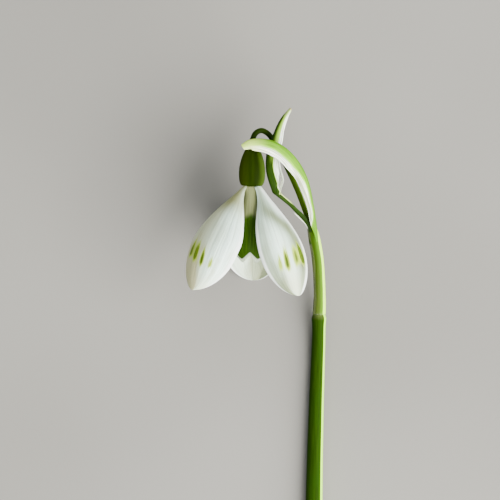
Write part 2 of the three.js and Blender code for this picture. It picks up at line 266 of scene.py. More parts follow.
class Skin:
    """A mesh put together from grids of points. Each grid carries its own coordinates."""

    def __init__(self):
        self.points = []
        self.faces = []
        self.corners = []
        self.outside = []

    def grid(self, points, across, along, wrap=False, outside=1.0, flip=False):
        """Rows of points joined by four-cornered faces. wrap joins the last column to the first."""
        rows, columns = points.shape[:2]
        first = len(self.points)
        self.points.extend(points.reshape(-1, 3) * MM)
        self.outside.extend([outside] * (rows * columns))
        index = first + np.arange(rows * columns).reshape(rows, columns)
        for i in range(rows - 1):
            for j in range(columns if wrap else columns - 1):
                k = (j + 1) % columns
                face = [(i, j, j), (i, k, j + 1), (i + 1, k, j + 1), (i + 1, j, j)]
                face = face[::-1] if flip else face
                self.faces.append([int(index[a, b]) for a, b, c in face])
                self.corners.extend([(across[c], along[a]) for a, b, c in face])
        return index

    def cap(self, ring, place, flip=False):
        face = [int(i) for i in ring]
        self.faces.append(face[::-1] if flip else face)
        self.corners.extend([place] * len(face))

    def rod(self, points, across, along):
        """Rings of points joined up, and closed at both ends."""
        rings = self.grid(points, across, along, wrap=True)
        self.cap(rings[0], (0.5, 0.0))
        self.cap(rings[-1], (0.5, 1.0), flip=True)

    def rim(self, outer, inner, across, along):
        """Closes the edge between two faces of a blade."""
        rows, columns = outer.shape
        edge = [(0, j) for j in range(columns)]
        edge += [(i, columns - 1) for i in range(1, rows)]
        edge += [(rows - 1, j) for j in range(columns - 2, -1, -1)]
        edge += [(i, 0) for i in range(rows - 2, 0, -1)]
        for a, b in zip(edge, edge[1:] + edge[:1]):
            self.faces.append([int(outer[b]), int(outer[a]), int(inner[a]), int(inner[b])])
            spots = [(across[j], along[i]) for i, j in (b, a)]
            self.corners.extend([spots[0], spots[1], spots[1], spots[0]])

    def piece(self, name, node, material):
        mesh = bpy.data.meshes.new(name)
        mesh.from_pydata([tuple(p) for p in self.points], [], self.faces)
        layer = mesh.uv_layers.new(name="organ")
        layer.data.foreach_set("uv", np.array(self.corners, np.float32).ravel())
        side = mesh.attributes.new("outside", "FLOAT", "POINT")
        side.data.foreach_set("value", np.array(self.outside, np.float32))
        mesh.shade_smooth()
        mesh.materials.append(material)
        made = bpy.data.objects.new(name, mesh)
        bpy.context.collection.objects.link(made)
        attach(made, "root")
        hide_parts(node)


def stalk(route, radius, rings, sides, slant=0.0, floor=None):
    """Rings of points round a route; radius takes the place along it and the angle round it."""
    s = np.linspace(0, 1, rings)[:, None]
    angle = np.linspace(0, TURN, sides, endpoint=False)[None, :]
    at, ahead, side, up = (part[:, 0, None] for part in route.frame(s))
    r = (radius(s, angle) + 0 * angle)[..., None]
    turn = angle[..., None]
    points = at + side * r * np.cos(turn) + up * r * np.sin(turn)
    points[0] += ahead[0] * slant * r[0] * np.cos(turn[0])
    if floor is not None:
        points[..., 2] = np.maximum(points[..., 2], floor)
    return points, np.linspace(0, 1, sides + 1), s[:, 0]


scape_route = Route(
    (12.2, -58.88, 1.9), (12.3, -40, 1.78), (12.5, -20, 1.66), (12.9, -4, 1.52),
    (13.25, 6, 1.5), (13.42, 11.5, 1.95), (13.46, 16.72, 2.86),
)


def scape_radius(s, angle):
    size = blend(TOP_RADIUS, CUT_RADIUS, (1 - s) * (1 + SCAPE_BELLY * s))
    size = size + NODE_SWELLING * np.exp(-(((1 - s) / NODE_SPAN) ** 2))
    ribs = 1 + 0.006 * np.cos(14 * angle) + 0.004 * np.cos(31 * angle + 2)
    rounding = 1 - 0.22 * smooth(s, 0.983, 1.0)
    return size * ribs * SCAPE_ROUND * rounding


def to_the_right(across):
    """1 along the right-hand side of a stalk, -1 along its left."""
    return (across * TURN + TURN / 4).wave()


def tissue(weight, colour, depth, gloss):
    """How much light living tissue lets in, of what colour and how deep, and how it shines."""
    return {
        "subsurface_weight": weight, "subsurface_radius": colour, "subsurface_scale": depth * MM,
        "specular_ior_level": gloss,
    }


def scape_green(root):
    across, along = root.organ()
    right = to_the_right(across)
    upper = (across * TURN).wave().rise(-0.22, 0.06)
    streak = root.grain(across * 46, along * 9)
    fine = root.grain(across * 150, along * 22, 4.0, detail=2.0)
    cloud = root.grain(across * 5, along * 14, 9.0)
    green = streak.rise(0.3, 0.72).tint((0.008, 0.023, 0.0), (0.015, 0.041, 0.0))
    green = cloud.rise(0.4, 0.75).tint(green, (0.01, 0.034, 0.0))
    # The right flank is painted a lighter green, with a pale strip along its upper right side: partly
    # a paler ridge of the stalk, partly painted highlight from the light on that side.
    green = (right + streak * 0.1).rise(0.45, 0.8).tint(green, (0.016, 0.055, 0.0))
    green = ((right + streak * 0.06).rise(0.72, 0.82) * upper).tint(green, (0.4, 0.8, 0.035))
    top = (along + fine * 0.005).rise(0.984, 0.998) * (1 - right.rise(0.5, 0.7))
    green = top.tint(green, (0.045, 0.068, 0.012))
    reach = along + 1  # on the cut face, from 0 in the middle to 1 at the rind
    bundles = (across * (9 * TURN)).wave().rise(0.3, 0.9)
    bundles = bundles * (1 - abs(reach - 0.72).rise(0.03, 0.1))
    pith = streak.rise(0.3, 0.7).tint((0.36, 0.44, 0.2), (0.5, 0.57, 0.32))
    pith = (bundles + reach.rise(0.84, 0.95)).tint(pith, (0.05, 0.11, 0.004))
    green = root.outer_face().tint(pith, green)
    ribs = (across * (28 * TURN)).wave() * 0.25 + fine + streak * 0.6
    return coat(green, fine.rise(0.2, 0.8) * 0.14 + 0.58, ribs.bumps(0.35, 0.06))


scape = Skin()
points, across, along = stalk(
    scape_route, scape_radius, rings=260, sides=64, slant=CUT_SLANT, floor=0.0)
rings = scape.grid(points, across, along, wrap=True)
scape.cap(rings[-1], (0.5, 1.0), flip=True)

# The cut face: rings from its middle out to the rind, with the soft pith between a little sunk.
cut = points[0]
middle = cut.mean(axis=0)
radii = np.array([0.0, 0.25, 0.5, 0.65, 0.8, 0.9, 1.0])
sunk = 0.05 * np.sin(radii * math.pi)[:, None, None] * np.array([0.0, 1.0, 0.0])
cut_face = middle + (cut - middle)[None] * np.maximum(radii, 0.04)[:, None, None] + sunk
cut_rings = scape.grid(cut_face, across, radii - 1, wrap=True, outside=0.0)
scape.cap(cut_rings[0], (0.5, -1.0))
scape_finish = finish("scape", scape_green, **tissue(0.08, (0.5, 1.0, 0.1), 0.6, 0.03))
scape.piece("scape_rod", "scape", scape_finish)

# ---- Pedicel ---------------------------------------------------------------------------------
# The pedicel is the thin stalk that bears the bloom. It comes up inside the sheath, leaves it
# between the two valves, and bends over in an arch to the top of the ovary.
PEDICEL_RADIUS = 0.565
PEDICEL_FOOT = 0.42  # its radius inside the sheath
PEDICEL_FLARE = 0.05  # added where it meets the ovary
pedicel_route = Route(
    (13.48, 16.9, 2.92), (13.55, 20.5, 3.9), (13.1, 28, 6.4), (12.3, 32.3, 8.0),
    (11.4, 35.8, 8.9), (10.2, 38.9, 9.7), (8.8, 42.5, 11.0), (7.0, 46.4, 12.5),
    (5.3, 49.8, 13.8), (3.9, 52.3, 14.9), (2.6, 54.2, 16.1), (1.1, 54.9, 17.2),
    (-0.1, 54.3, 18.0), (-0.65, 53.2, 18.5), (-0.75, 52.45, 18.7), (-0.76, 52.1, 18.72),
)


def pedicel_radius(s, angle):
    size = blend(PEDICEL_FOOT, PEDICEL_RADIUS, smooth(s, 0.3, 0.45))
    size = size + PEDICEL_FLARE * smooth(s, 0.975, 1.0)
    return size * (1 + 0.025 * np.cos(3 * angle + 4 * s) + 0.008 * np.cos(11 * angle))


def pedicel_green(root):
    across, along = root.organ()
    streak = root.grain(across * 22, along * 12)
    fine = root.grain(across * 60, along * 30, 3.0, detail=2.0)
    green = streak.rise(0.3, 0.75).tint((0.014, 0.031, 0.0), (0.032, 0.066, 0.0))
    # The right flank is painted a lighter green, as a painted highlight from the light on that side.
    right = to_the_right(across)
    green = (right + streak * 0.3).rise(0.5, 1.0).tint(green, (0.06, 0.125, 0.002))
    young = along.rise(0.6, 0.75) * 0.85
    green = young.tint(green, (0.006, 0.015, 0.0))
    return coat(green, fine.rise(0.2, 0.8) * 0.15 + 0.55, (fine + streak).bumps(0.3, 0.04))


pedicel = Skin()
pedicel.rod(*stalk(pedicel_route, pedicel_radius, rings=220, sides=28))
pedicel_finish = finish("pedicel", pedicel_green, **tissue(0.06, (0.5, 1.0, 0.1), 0.4, 0.04))
pedicel.piece("pedicel_rod", "pedicel", pedicel_finish)

# ---- Spathe: sheath --------------------------------------------------------------------------
# The spathe sprouts from the node as a closed sheath round the pedicel, with two low keels. It is
# green, pale down its right keel partly as painted highlight, and thins on its left to a skin that
# is partly clear.
SHEATH_RADIUS = 1.15
SHEATH_FOOT = 0.13  # added where it leaves the node
SHEATH_KEEL = 0.1  # of the radius
SHEATH_MOUTH = 0.4  # how much narrower its mouth is, of the radius
SHEATH_ROUND = 0.985  # makes it about as thick as the 14-sided solid from flat to flat
sheath_route = Route(
    (13.46, 16.35, 2.8), (13.55, 20.5, 3.95), (13.1, 28, 6.4), (12.35, 32.3, 8.0),
    (11.6, 35.4, 8.9), (10.6, 37.9, 9.5),
)


def sheath_radius(s, angle):
    foot = SHEATH_FOOT * (1 - smooth(s, 0, 0.25))
    closing = 1 - SHEATH_MOUTH * smooth(s, 0.72, 1.0)
    keels = 1 + SHEATH_KEEL * np.abs(np.cos(angle)) ** 6
    folds = 1 + 0.012 * np.cos(9 * angle + 5 * s)
    return (SHEATH_RADIUS + foot) * closing * keels * folds * SHEATH_ROUND


def sheath_skin(root):
    across, along = root.organ()
    right = to_the_right(across)
    streak = root.grain(across * 26, along * 5)
    fine = root.grain(across * 90, along * 16, 7.0, detail=2.0)
    place = right + (streak - 0.5) * 0.35
    olive = along.rise(0.1, 0.75).tint((0.05, 0.08, 0.009), (0.028, 0.064, 0.001))
    green = place.rise(-0.1, 0.45).tint(olive, (0.06, 0.15, 0.0))
    # Down the right keel the green turns pale: partly the keel's own paler green, partly painted
    # highlight from the light on that side.
    green = place.rise(0.52, 0.76).tint(green, (0.48, 0.84, 0.05))
    skin = (0 - place).rise(0.5, 0.85)
    green = skin.tint(green, (0.11, 0.14, 0.04))
    foot = 1 - along.rise(0.0, 0.05)
    green = (foot * 0.6 * (1 - place.rise(0.4, 0.7))).tint(green, (0.12, 0.15, 0.06))
    clear = 1 - skin * 0.5 * streak.rise(0.25, 0.7)
    clear = clear * (1 - along.rise(0.85, 1.0)) * (along + fine * 0.03).rise(0.01, 0.045)
    relief = (fine + streak).bumps(0.4, 0.06)
    return coat(green, fine.rise(0.2, 0.8) * 0.2 + 0.5, relief, Alpha=clear)


sheath = Skin()
sheath.grid(*stalk(sheath_route, sheath_radius, rings=130, sides=48), wrap=True)
sheath_finish = finish("spathe sheath", sheath_skin, **tissue(0.15, (0.6, 1.0, 0.2), 0.4, 0.05))
sheath.piece("spathe_sheath", "spathe", sheath_finish)

# The edge of the thin skin stands free down the left of the sheath, as a clear ribbon with a pale
# hem that runs up past the fork and dies out along the upright valve.
MEMBRANE_WIDTH = 0.42
MEMBRANE_FOOT = 0.6  # wider by this at its foot
MEMBRANE_FORK = 0.21  # and narrower by this past the fork
MEMBRANE_LIFT = 0.06
MEMBRANE_WALL = 0.12
MEMBRANE_RIPPLE = 0.05
membrane_route = Route(
    (12.85, 16.8, 3.0), (12.85, 21, 4.3), (12.6, 26.9, 6.2), (12.0, 31.6, 7.8),
    (11.3, 34.1, 8.8), (10.71, 35.48, 9.5), (9.9, 36.38, 10.0), (9.1, 37.15, 10.35),
    (8.2, 38.04, 10.75), (7.9, 38.34, 10.85),
)


def membrane_film(root):
    across, along = root.organ()
    streak = root.grain(across * 6, along * 9)
    sliver = along.rise(0.7, 0.8)
    hem = (across + sliver * 0.6).rise(0.75, 0.9)
    colour = streak.rise(0.3, 0.7).tint((0.26, 0.3, 0.14), (0.42, 0.48, 0.26))
    colour = hem.tint(colour, (0.86, 0.95, 0.76))
    clear = hem * (sliver * 0.7 + 0.14) + (1 - hem) * (streak * 0.12 + 0.1)
    clear = clear * (1 - along.rise(0.95, 1.0)) * along.rise(0.0, 0.04)
    return coat(colour, streak.rise(0.2, 0.8) * 0.2 + 0.35, streak.bumps(0.4, 0.05), Alpha=clear)


membrane = Skin()
along = np.linspace(0, 1, 120)
across = np.linspace(0, 1, 12)
s = along[:, None]
at, ahead, side, up = (part[:, 0, None] for part in membrane_route.frame(s))
width = MEMBRANE_WIDTH + MEMBRANE_FOOT * np.exp(-((s / 0.06) ** 2))
width = width - MEMBRANE_FORK * smooth(s, 0.6, 0.75)
ripple = (MEMBRANE_RIPPLE * across * np.sin(19 * s + 3 * across))[..., None]
top = at - side * (width * across)[..., None] + up * (ripple + MEMBRANE_LIFT)
outer = membrane.grid(top, across, along, flip=True)
inner = membrane.grid(top - up * MEMBRANE_WALL, across, along, outside=0.0)
membrane.rim(inner, outer, across, along)
membrane_finish = finish("spathe membrane", membrane_film, specular_ior_level=0.25)
membrane.piece("spathe_membrane", "spathe", membrane_finish)

# ---- Spathe: valves --------------------------------------------------------------------------
# Above the sheath the spathe parts into two valves, each folded like a canoe along a green keel
# with a papery white margin. One arches over the ovary. The other kinks, and on the growing plant
# it stands upright.
VALVE_WALL = 0.24
LEAST_HALF = 0.05  # half the height that is left open inside a fold
LEAST_DEPTH = 0.1  # and the depth
KINK = 0.428  # how far along the upright valve it kinks
KINK_OVER = np.array([0.993, -0.112, 0.0])  # and the way its flanks lie there
PAPERY_WHITE = (0.95, 1.0, 0.86)
DRY_BROWN = (0.32, 0.27, 0.12)


def round_end(u):
    """Narrows the last part of the arched valve to a rounded tip."""
    past = np.maximum(0, (u - 0.62) / 0.38)
    return np.sqrt(1 - 0.86 * past**3.4)


def taper(u):
    """Narrows the foot of that valve, where it leaves the sheath, to about a quarter."""
    return 0.25 + 0.75 * smooth(u, -0.02, 0.16)


# A valve opens to the left (-1) or right (1) of its keel. depth and half are how deep its fold is
# and half how high, wave how far its margins ripple, and over how far it is turned at the kink.
valves = {
    "arched": {
        "opens": -1,
        "keel": Route(
            (13.2, 31.5, 8.4), (12.8, 35.2, 9.9), (12.0, 39.9, 12.7), (10.9, 44.4, 15.6),
            (9.3, 47.7, 17.9), (6.9, 50.5, 19.9), (4.2, 52.3, 21.1), (1.2, 53.0, 21.8),
            (-1.6, 52.7, 22.0), (-3.1, 51.7, 21.8),
        ),
        "depth": lambda u: blend(1.3, 3.0, smooth(u, 0.15, 0.72)) * round_end(u) * taper(u),
        "half": lambda u: 1.05 * round_end(u) ** 0.6 * taper(u),
        "wave": 0.05,
        "over": lambda u: 0 * u,
    },
    "upright": {
        "opens": 1,
        "keel": Route(
            (11.3, 31.5, 8.2), (10.95, 34.7, 9.3), (9.8, 36.5, 10.3), (8.3, 38.0, 10.9),
            (6.9, 39.42, 11.6), (5.3, 40.7, 12.4), (4.1, 41.6, 13.0), (3.6, 41.98, 13.35),
            (3.42, 42.15, 13.48), (3.33, 42.4, 13.6), (3.07, 43.1, 14.0), (2.6, 44.4, 14.8),
            (2.03, 46.7, 16.1), (1.97, 48.7, 16.9), (2.25, 50.7, 17.5), (3.05, 52.95, 18.0),
            (4.3, 56.0, 18.6), (5.4, 57.8, 18.9), (6.95, 59.47, 19.3),
        ),
        "depth": lambda u: blend(
            0.9 + 0.5 * np.exp(-(((u - KINK) / 0.03) ** 2)),
            3.2 - 2.7 * (2 * np.maximum(u, 0.5) - 1) ** 2, smooth(u, KINK - 0.01, KINK + 0.065)),
        "half": lambda u: blend(
            0.5, 0.95 - 0.5 * smooth(u, 0.6, 1), smooth(u, KINK, KINK + 0.15)),
        "wave": 0.06,
        "over": lambda u: np.exp(-(((u - KINK) / 0.028) ** 2)),
    },
}

# Places along a valve run from 0 at its foot to 1 at its tip, and places up a flank from 0 at the
# keel to 1 at the margin. Only the upright one has a painted highlight along its margin below its
# kink, and a dry tip.
valve_looks = {
    "arched": {
        # the flank is green up to here, with an edge so soft and so ragged; the stretch along which
        # the papery margin opens out; the stretch along which the green grows wider, and how much
        "green_to": 0.53, "soft": 0.1, "ragged": 0.2, "papery": (0.0, 0.24),
        "wider": (0.4, 0.62, 0.17),
        # the greens of the flank; the paler one at their edge, from where up the flank they go over
        # to it, and how far, along the wider stretch and all along
        "dark": (0.05, 0.15, 0.0), "light": (0.1, 0.26, 0.0), "pale": (0.22, 0.47, 0.02),
        "bright_from": 0.0, "brighter": 0.12, "brighter_low": 0.18,
        # the darker green along the keel, partly its own colour and partly painted shade on the fold's
        # lower flank; its strength, how far up the flank it goes, and how much it fades towards the
        # tip
        "keel": (0.07, 0.16, 0.01), "keel_shade": 0.5, "keel_to": 0.4, "keel_fade": 0.9,
        # the veins, how strong the line beside the margin is, where the tip starts, and its tint
        "vein": (0.36, 0.4, 0.26), "line": 0.9, "tip_from": 0.8, "tip": (0.78, 1.0, 0.2),
        # the clear film: from where up the flank, up to where along it, how far it draws back, its
        # colour, how clear it is, and how solid the hem beyond it is
        "film_from": 0.68, "film_to": 0.6, "film_back": 0.1, "film": (0.74, 0.82, 0.52),
        "sheer": 0.55, "hem": 0.9,
    },
    "upright": {
        "green_to": 0.68, "soft": 0.03, "ragged": 0.03, "papery": (KINK - 0.05, KINK + 0.047),
        "wider": (0.62, 0.76, 0.1),
        "dark": (0.01, 0.027, 0.001), "light": (0.018, 0.045, 0.003), "pale": (0.34, 0.58, 0.06),
        "bright_from": 0.3, "brighter": 1.0, "brighter_low": 0.0,
        "keel": (0.007, 0.022, 0.0), "keel_shade": 0.85, "keel_to": 0.58, "keel_fade": 0.0,
        "vein": (0.4, 0.46, 0.32), "line": 0.3, "tip_from": 0.92, "tip": (0.5, 0.62, 0.22),
        # the painted highlight along its margin below the kink, and where the dry tip starts
        "edge": (0.5, 0.62, 0.2), "dry_from": 0.99,
        "film_from": 0.7, "film_to": 0.68, "film_back": 0.17, "film": (0.42, 0.44, 0.34),
        "sheer": 0.96, "hem": 0.35,
    },
}


def valve_folds(valve):
    """The two faces of a valve. Both fold round its keel, the inner one a wall further in."""

    def face(u, v, outside):
        at, ahead, side, up = (part[:, 0, None] for part in valve["keel"].frame(u))
        wall = 0.0 if outside else VALVE_WALL
        depth = valve["depth"](u)
        half = np.maximum(valve["half"](u) - wall, 0.0 if outside else LEAST_HALF)
        start = np.minimum(wall, depth - LEAST_DEPTH)
        angle = v * math.pi / 2
        margin = smooth(np.abs(v), 0.75, 1.0) * valve["wave"]
        inward = start + (depth - start) * (1 - np.cos(angle)) + margin * np.sin(31 * u + 2 * v)
        rise = half * np.sin(angle) + margin * np.sin(23 * u + 1.5)
        into = blend(side * valve["opens"], KINK_OVER, valve["over"](u)[..., None])
        into = into / np.linalg.norm(into, axis=-1, keepdims=True)
        return at + into * inward[..., None] + up * rise[..., None]

    return face


def valve_skin(look):
    """Green up the flank from the keel, papery white beyond, and in places a clear film past that."""

    def colour(root):
        across, along = root.organ()
        flank = abs(across)
        streak = root.grain(flank * 11, along * 7)
        fine = root.grain(across * 40, along * 26, 3.0, detail=2.0)
        veins = root.grain(flank * 26, along * 5, 8.0, detail=2.0)
        low = 1 - along.rise(*look["papery"])
        wide_from, wide_to, wider = look["wider"]
        wide = along.rise(wide_from, wide_to)
        place = flank + (streak - 0.5) * look["ragged"] - low - wide * wider
        green = streak.rise(0.3, 0.7).tint(look["dark"], look["light"])
        brighter = wide * look["brighter"] + look["brighter_low"]
        brighter = place.rise(look["bright_from"], look["green_to"]) * brighter
        green = brighter.tint(green, look["pale"])
        # A darker green along the keel: partly the keel's own colour, partly painted shade on the
        # fold's lower flank.
        keel = 1 - flank.rise(0.08, look["keel_to"])
        keel = keel * (1 - along.rise(0.35, 0.7) * look["keel_fade"])
        green = (keel * look["keel_shade"]).tint(green, look["keel"])
        papery = veins.rise(0.5, 0.58).tint(PAPERY_WHITE, look["vein"])
        line = 1 - abs(flank - 0.8 + (streak - 0.5) * 0.06).rise(0.01, 0.035)
        papery = (line * streak.rise(0.35, 0.6) * look["line"]).tint(papery, look["vein"])
        filmy = 1 - along.rise(look["film_to"] - 0.12, look["film_to"])
        back = along.rise(look["papery"][1], look["film_to"] - 0.1) * look["film_back"]
        film = (flank - low - back).rise(look["film_from"], look["film_from"] + 0.05) * filmy
        hem = flank.rise(0.94, 0.97)
        film_colour = veins.rise(0.42, 0.55).tint(look["film"], look["vein"])
        papery = (film * (1 - hem)).tint(papery, film_colour)
        mixed = place.rise(look["green_to"] - look["soft"], look["green_to"]).tint(green, look["pale"])
        mixed = place.rise(look["green_to"], look["green_to"] + look["soft"]).tint(mixed, papery)
        # On the upright valve, a painted highlight along the margin below the kink.
        if "edge" in look:
            edge = low * 2 * flank.rise(0.9, 0.94) * along.rise(0.27, 0.33)
            mixed = edge.tint(mixed, look["edge"])
        mixed = (along.rise(look["tip_from"], 1.0) * 0.7).tint(mixed, look["tip"])
        if "dry_from" in look:
            mixed = along.rise(look["dry_from"], look["dry_from"] + 0.008).tint(mixed, DRY_BROWN)
        clear = 1 - film * (1 - hem * look["hem"]) * (look["sheer"] - veins.rise(0.45, 0.62) * 0.1)
        relief = (fine + streak + veins).bumps(0.45, 0.07)
        return coat(mixed, fine.rise(0.2, 0.8) * 0.2 + 0.45, relief, Alpha=clear)

    return colour


def blade(name, node, material, face, rows, columns, crowd=1.0):
    """A closed blade. face(u, v, outside) gives its two faces; crowd draws the rows to its tip."""
    along = 1 - (1 - np.linspace(0, 1, rows)) ** crowd
    across = np.linspace(-1, 1, columns)
    u, v = along[:, None], across[None, :] + 0 * along[:, None]
    skin = Skin()
    outer = skin.grid(face(u, v, True), across, along)
    inner = skin.grid(face(u, v, False), across, along, outside=0.0, flip=True)
    skin.rim(outer, inner, across, along)
    skin.piece(name, node, material)


for name, valve in valves.items():
    valve_finish = finish("spathe " + name + " valve", valve_skin(valve_looks[name]),
                          **tissue(0.2, (0.6, 1.0, 0.3), 0.4, 0.06))
    blade("spathe_valve_" + name, "spathe", valve_finish, valve_folds(valve),
          rows=200, columns=44)

# ---- Ovary -----------------------------------------------------------------------------------
# The ovary sits between the pedicel and the tepals: a firm dark green egg of three fused cells,
# broadest towards the tepals, with three faint furrows where the cells meet.
BLOOM_AT = np.array([-0.9, 43.3, 17.7])  # where the tepals meet it
NOD = math.radians(6)  # the bloom's mouth points this far down
LEAN = math.radians(-1.5)  # and this far to the left
BLOOM = np.array([
    [math.cos(LEAN), -math.sin(LEAN) * math.cos(NOD), math.sin(LEAN) * math.sin(NOD)],
    [math.sin(LEAN), math.cos(LEAN) * math.cos(NOD), -math.cos(LEAN) * math.sin(NOD)],
    [0.0, math.sin(NOD), math.cos(NOD)],
])
OVARY_OUTLINE = (  # radius and height
    (1.4, 0.2), (2.15, 0.26), (2.46, 0.72), (2.66, 1.5), (2.74, 2.8), (2.64, 4.2), (2.31, 5.7),
    (1.7, 7.3), (1.08, 8.35), (0.72, 8.8), (0.5, 9.0),
)
OVARY_RINGS = 70
OVARY_SIDES = 72


def in_bloom(x, y, z):
    """Points of the bloom's own frame, where Y runs up the ovary and Z to its upper side."""
    return np.stack([x, y, z], -1) @ BLOOM.T + BLOOM_AT


def ovary_green(root):
    across, along = root.organ()
    right = (across * TURN).wave()  # across starts on its upper side
    streak = root.grain(across * 20, along * 2.2)
    fine = root.grain(across * 110, along * 34, 5.0)
    green = streak.rise(0.3, 0.72).tint((0.007, 0.0155, 0.0), (0.01, 0.021, 0.0))
    # Painted light: a darker band painted as shade just right of the top, and the flanks painted
    # brighter than the top as lit sides, the right one most.
    middle = right.rise(0.0, 0.3) * (1 - right.rise(0.45, 0.75)) * 0.75
    green = middle.tint(green, (0.004, 0.009, 0.0))
    green = (right + streak * 0.3).rise(0.55, 1.2).tint(green, (0.03, 0.054, 0.006))
    green = ((0 - right) + streak * 0.1).rise(0.1, 1.1).tint(green, (0.026, 0.042, 0.001))
    return coat(green, fine.rise(0.25, 0.75) * 0.12 + 0.6, (fine + streak).bumps(0.25, 0.05))


outline = Route(*[(radius, height, 0.0) for radius, height in OVARY_OUTLINE])
outline = outline.point(np.linspace(0, 1, OVARY_RINGS))
turn = np.linspace(0, TURN, OVARY_SIDES, endpoint=False)
furrow = 1 - 0.014 * (0.5 + 0.5 * np.cos(3 * turn + 0.9)) ** 3 + 0.003 * np.cos(6 * turn)
radius = outline[:, 0, None] * furrow
height = outline[:, 1, None] + 0 * turn
ovary = Skin()
rings = ovary.grid(
    in_bloom(radius * np.sin(turn), height, radius * np.cos(turn)),
    np.linspace(0, 1, OVARY_SIDES + 1), np.linspace(0, 1, OVARY_RINGS), wrap=True,
)
ovary.cap(rings[0], (0.5, 0.0), flip=True)
ovary.cap(rings[-1], (0.5, 1.0))
ovary_finish = finish("ovary", ovary_green, **tissue(0.06, (0.5, 1.0, 0.1), 0.6, 0.02))
ovary.piece("ovary_egg", "ovary", ovary_finish)

# ---- Outer tepals ----------------------------------------------------------------------------
# Three large spoons of thin cool-white tissue spring from the ovary, each narrow at its claw and
# blunt at its tip. Fine veins run their length, and short green strokes mark each outer face.
TEPAL_THICK = 0.34  # along its middle
PRESSED = 0.15  # the least that is left of that where a tepal is pressed flat on the table
CLAW_SPAN = 0.14  # the part of a tepal's length over which its claw opens into the blade
LEAST_TIP = 0.3  # half the width of the narrowest tip
LOBE_AT = 0.5  # how far out from a tepal's middle a lobe is longest, where it ends in lobes
FURROW_WIDTH = 0.05  # of the way from the middle to the margin
RIPPLE = 0.07
MARGIN_THINNING = 0.6  # how much thinner the margin is
MIDLINE_STEPS = 240
# cream laid at random, and also the colour of painted shade down a tepal's flank
CREAM = (0.56, 0.545, 0.31)
# the white of a painted highlight along a tepal's edge
RIM_HIGHLIGHT_WHITE = (0.92, 0.98, 0.93)
STROKE_HALO = (0.42, 0.56, 0.06)


def left_painted_light(across, along):
    """The painted light on the left tepal: greyish and cream painted shade, and a painted highlight
    along its right edge.
    """
    flank = (0 - across).rise(-0.35, 0.08)
    claw = (1 - along.rise(0.16, 0.38)) * 0.85
    shade_grey = claw + (0 - across).rise(-0.75, -0.2) * 0.24
    return shade_grey, flank * 0.66, across.rise(0.86, 0.93) * along.rise(0.12, 0.3)


def right_painted_light(across, along):
    """The same for the right one: greyish painted shade in a fold up to its claw, over its left flank
    and in a brink inside its right-hand edge, with a painted highlight on that edge, broader by the
    claw."""
    past_rim = across - along.rise(0.0, 0.62) * 0.48 + along.rise(0.75, 1.0) * 0.2 - 0.02
    across = across - along.rise(0.6, 0.85) * 0.13
    fold = across - along.rise(0.1, 0.55) * 0.75 + 0.55
    band = (1 - abs(fold).rise(0.0, 0.52)) * (along.rise(0.12, 0.32) * 0.34 + 0.42)
    flank = (0 - across).rise(0.38, 0.8) * along.rise(0.2, 0.42)
    flank = flank * (along.rise(0.2, 0.9) * 0.64 + 0.36)
    brink = past_rim.rise(-0.66, -0.14) * along.rise(0.25, 0.42) * (1 - along.rise(0.7, 0.97))
    claw = (1 - along.rise(0.2, 0.52)) * 0.36
    near_claw = 1 - along.rise(0.22, 0.42)
    edge = past_rim.rise(-0.35, 0.05) * near_claw + past_rim.rise(-0.05, 0.05) * (1 - near_claw)
    return band + flank + claw + brink * 0.4, 0.0, edge * along.rise(0.0, 0.06)


def back_painted_light(across, along):
    """The same for the back one: greyish painted shade on one side, towards its claw and faintly all
    over, and a painted highlight along one edge.
    """
    flank = (0 - across).rise(-0.45, 0.05) * 0.72
    claw = (1 - along.rise(0.1, 0.93)) * 0.7
    return flank + claw + 0.08, 0.0, across.rise(0.86, 0.93) * along.rise(0.12, 0.3)
